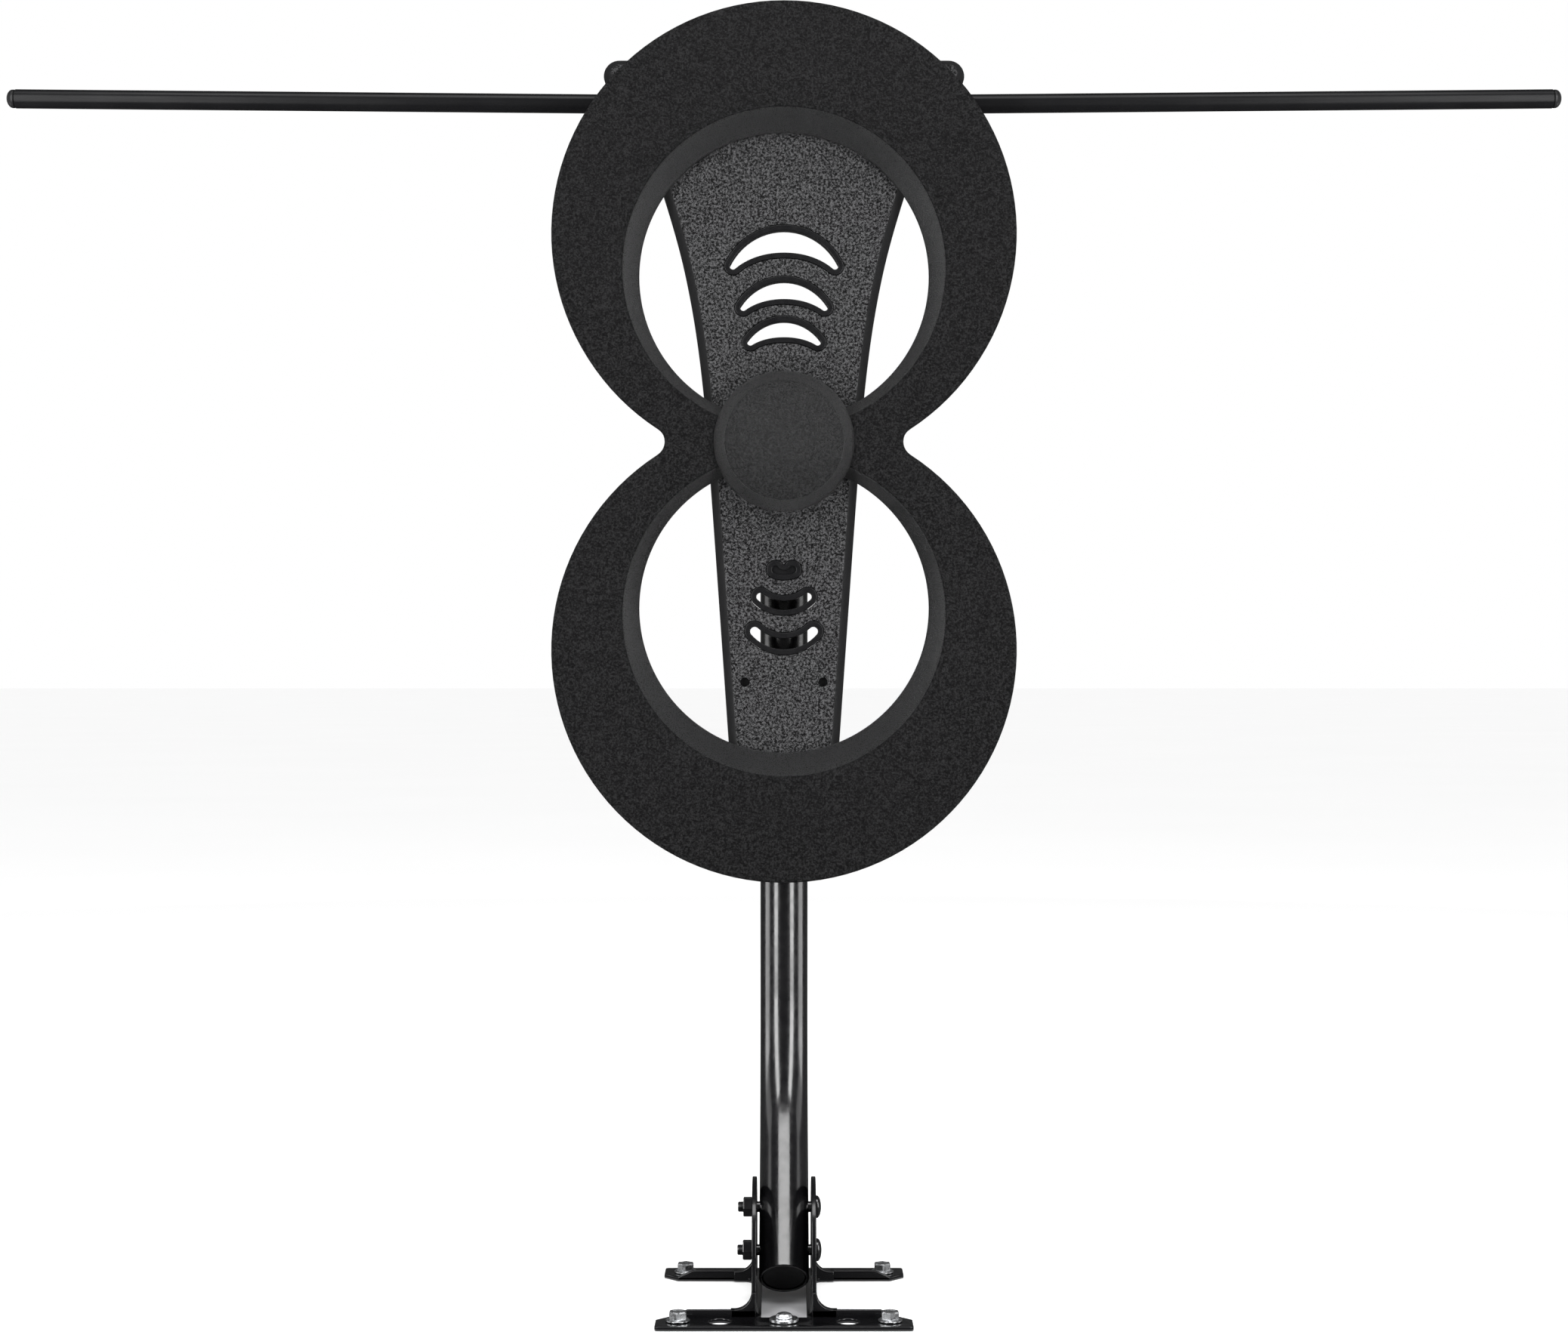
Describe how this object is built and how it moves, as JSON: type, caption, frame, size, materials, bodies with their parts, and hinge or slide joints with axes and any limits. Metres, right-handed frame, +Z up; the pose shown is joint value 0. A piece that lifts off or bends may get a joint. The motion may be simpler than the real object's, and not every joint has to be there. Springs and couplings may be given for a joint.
{
  "type": "television antenna",
  "caption": "Figure-eight loop television antenna with folding dipole rods on a tapered backbone, a bent tube mast and a tilting stamped foot.",
  "frame": {"origin": "centre of the foot's underside", "axes": "+X along the dipole rods, to the right as seen from the front; -Y is the front; +Z up"},
  "size_m": [0.902, 0.1709, 0.7277],
  "materials": {
    "grained_plastic": "moulded black plastic with a fine spark-eroded grain",
    "smooth_plastic": "plain moulded black plastic",
    "gloss_black_steel": "gloss black powder coat",
    "satin_black_rod": "satin black coat",
    "zinc": "bright zinc plate",
    "aluminium": "mill finish sheet",
    "circuit_board": "green solder mask"
  },
  "bodies": {
    "foot": {"foot_bracket": "gloss_black_steel", "foot_screw_front_left": "zinc", "foot_screw_front_right": "zinc", "foot_screw_rear_left": "zinc", "foot_screw_rear_right": "zinc", "centre_screw": "zinc", "centre_washer": "zinc", "pivot_bolt": "gloss_black_steel", "pivot_nut": "gloss_black_steel"},
    "mast": {"mast_tube": "gloss_black_steel", "mast_bottom_plug": "smooth_plastic", "mast_top_cap": "smooth_plastic", "lock_bolt": "gloss_black_steel", "lock_nut": "gloss_black_steel"},
    "sleeve": {"mast_liner": "smooth_plastic"},
    "head": {"loop_cover_front": "grained_plastic", "loop_cover_rear": "grained_plastic", "upper_loop_element": "aluminium", "lower_loop_element": "aluminium", "hub_cap": "grained_plastic", "hub_spacer": "smooth_plastic", "balun_board": "circuit_board", "hub_screw_left": "zinc", "hub_screw_right": "zinc", "backbone_front": "grained_plastic", "backbone_rear": "grained_plastic", "backbone_screw_upper_left": "zinc", "backbone_screw_upper_right": "zinc", "backbone_screw_lower_left": "zinc", "backbone_screw_lower_right": "zinc", "coax_connector": "zinc", "coax_connector_nut": "zinc", "combiner_board": "circuit_board", "clamp_saddle": "smooth_plastic", "clamp_jaw": "gloss_black_steel", "clamp_bolt_left": "zinc", "clamp_bolt_right": "zinc", "clamp_wing_nut_left": "zinc", "clamp_wing_nut_right": "zinc", "rod_pivot_bolt_left": "zinc", "rod_pivot_bolt_right": "zinc", "rod_pivot_nut_left": "zinc", "rod_pivot_nut_right": "zinc"},
    "rod_left": {"rod_left": "satin_black_rod", "rod_tip_cap_left": "smooth_plastic"},
    "rod_right": {"rod_right": "satin_black_rod", "rod_tip_cap_right": "smooth_plastic"}
  },
  "joints": [
    {"name": "mast_tilt", "type": "hinge", "parent": "foot", "child": "mast", "pos_m": [0, 0, 0.028], "axis": [1, 0, 0], "range_deg": [0, 90]},
    {"name": "head_height", "type": "slide", "parent": "mast", "child": "sleeve", "axis": [0, 0, 1], "range_m": [-0.06, 0.06]},
    {"name": "head_azimuth", "type": "hinge", "parent": "sleeve", "child": "head", "pos_m": [0, 0.0831, 0.3418], "axis": [0, 0, 1], "continuous": true},
    {"name": "rod_left_fold", "type": "hinge", "parent": "head", "child": "rod_left", "pos_m": [-0.06, 0.0725, 0.6769], "axis": [0, 1, 0], "range_deg": [-85, 0]},
    {"name": "rod_right_fold", "type": "hinge", "parent": "head", "child": "rod_right", "pos_m": [0.06, 0.0725, 0.6769], "axis": [0, 1, 0], "range_deg": [0, 85]}
  ]
}
